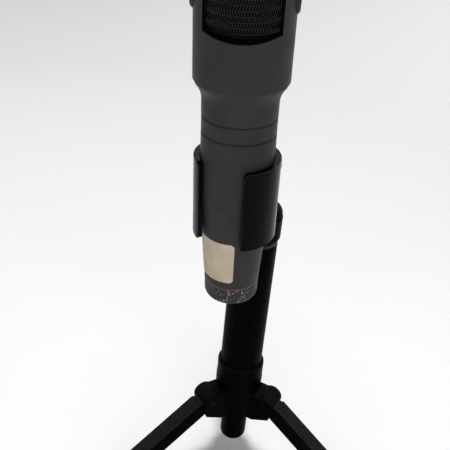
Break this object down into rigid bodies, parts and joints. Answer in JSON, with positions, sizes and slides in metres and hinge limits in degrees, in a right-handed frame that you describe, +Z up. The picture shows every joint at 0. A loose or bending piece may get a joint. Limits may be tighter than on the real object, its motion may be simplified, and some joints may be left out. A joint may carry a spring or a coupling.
{
  "type": "condenser microphone on desk tripod",
  "caption": "Condenser microphone with a tilting mesh head, held upright in a black spring clip on a swivelling desk tripod with folding legs.",
  "frame": {"origin": "on the table under the middle of the footprint of the three feet", "axes": "+Z up, -Y the way the clip's mouth faces, +X to the right of somebody facing the clip from behind the stand"},
  "size_m": [0.1191, 0.1312, 0.2655],
  "materials": {
    "grey_paint": "satin warm grey paint",
    "clip_plastic": "black, soft gloss",
    "black_plastic": "black, satin",
    "black_tube": "black, satin",
    "black_bar": "black, satin",
    "grey_ring": "dull",
    "pin_steel": "dull",
    "zinc_steel": "zinc plated",
    "foot_rubber": "matt",
    "thread_brass": "machined",
    "red_line": "dull red",
    "label_paper": "aged cream",
    "insert_plastic": "black",
    "contact_plate": "nickel plated",
    "board_green": "green laminate",
    "core_iron": "laminated",
    "sleeve_plastic": "printed sleeve",
    "cell_jacket": "plain wrapped cell",
    "mesh_black": "black wire mesh",
    "foam_black": "open foam",
    "capsule_can": "satin"
  },
  "bodies": {
    "stand": {"hub": "black_plastic", "center_tube": "black_tube", "hub_nose": "black_plastic", "tube_cap": "black_tube", "lock_ring": "grey_ring", "leg_pins": "pin_steel"},
    "left_leg": {"leg_left": "black_bar", "foot_left": "foot_rubber"},
    "right_leg": {"leg_right": "black_bar", "foot_right": "foot_rubber"},
    "back_leg": {"leg_back": "black_bar", "foot_back": "foot_rubber"},
    "swivel": {"swivel_base": "black_plastic", "thread_insert": "thread_brass", "tilt_bolt": "zinc_steel", "tilt_nut": "zinc_steel", "tilt_washers": "zinc_steel"},
    "clip": {"clip_cradle": "clip_plastic"},
    "microphone": {"barrel": "grey_paint", "end_cap": "grey_paint", "red_ring": "red_line", "paper_label": "label_paper", "joint_ring": "grey_paint", "head_yoke": "grey_paint", "connector_insert": "insert_plastic", "connector_pins": "contact_plate", "circuit_board": "board_green", "transformer": "core_iron", "capacitors": "sleeve_plastic", "battery_tray": "insert_plastic", "battery_cell": "cell_jacket", "battery_spring": "contact_plate", "battery_contact": "contact_plate"},
    "mesh_head": {"mesh_grille": "mesh_black", "foam_liner": "foam_black", "capsule_carrier": "insert_plastic", "capsule_mid": "capsule_can", "capsule_side": "capsule_can", "pivot_knob_left": "grey_paint", "pivot_knob_right": "grey_paint"}
  },
  "joints": [
    {"name": "leg_left_fold", "type": "hinge", "parent": "stand", "child": "left_leg", "pos_m": [-0.02461, -0.01631, 0.03967], "axis": [0.8329, -0.5534, 0], "range_deg": [0, 54]},
    {"name": "leg_right_fold", "type": "hinge", "parent": "stand", "child": "right_leg", "pos_m": [0.00176, -0.00321, 0.03967], "axis": [0.0628, 0.998, 0], "range_deg": [0, 54]},
    {"name": "leg_back_fold", "type": "hinge", "parent": "stand", "child": "back_leg", "pos_m": [-0.02277, 0.01308, 0.03967], "axis": [-0.8957, -0.4446, 0], "range_deg": [0, 54]},
    {"name": "swivel_pan", "type": "hinge", "parent": "stand", "child": "swivel", "pos_m": [-0.01521, -0.00215, 0.12407], "axis": [0, 0, 1], "range_deg": [-180, 180]},
    {"name": "clip_tilt", "type": "hinge", "parent": "swivel", "child": "clip", "pos_m": [-0.01521, -0.00215, 0.16137], "axis": [-1, 0, 0], "range_deg": [-1, 95]},
    {"name": "mic_slide", "type": "slide", "parent": "clip", "child": "microphone", "axis": [0, -0.1045, 0.9945], "range_m": [0, 0.067]},
    {"name": "head_tilt", "type": "hinge", "parent": "microphone", "child": "mesh_head", "pos_m": [-0.01521, -0.03736, 0.23238], "axis": [0.9311, 0.3629, 0.0381], "range_deg": [0, 60]}
  ]
}
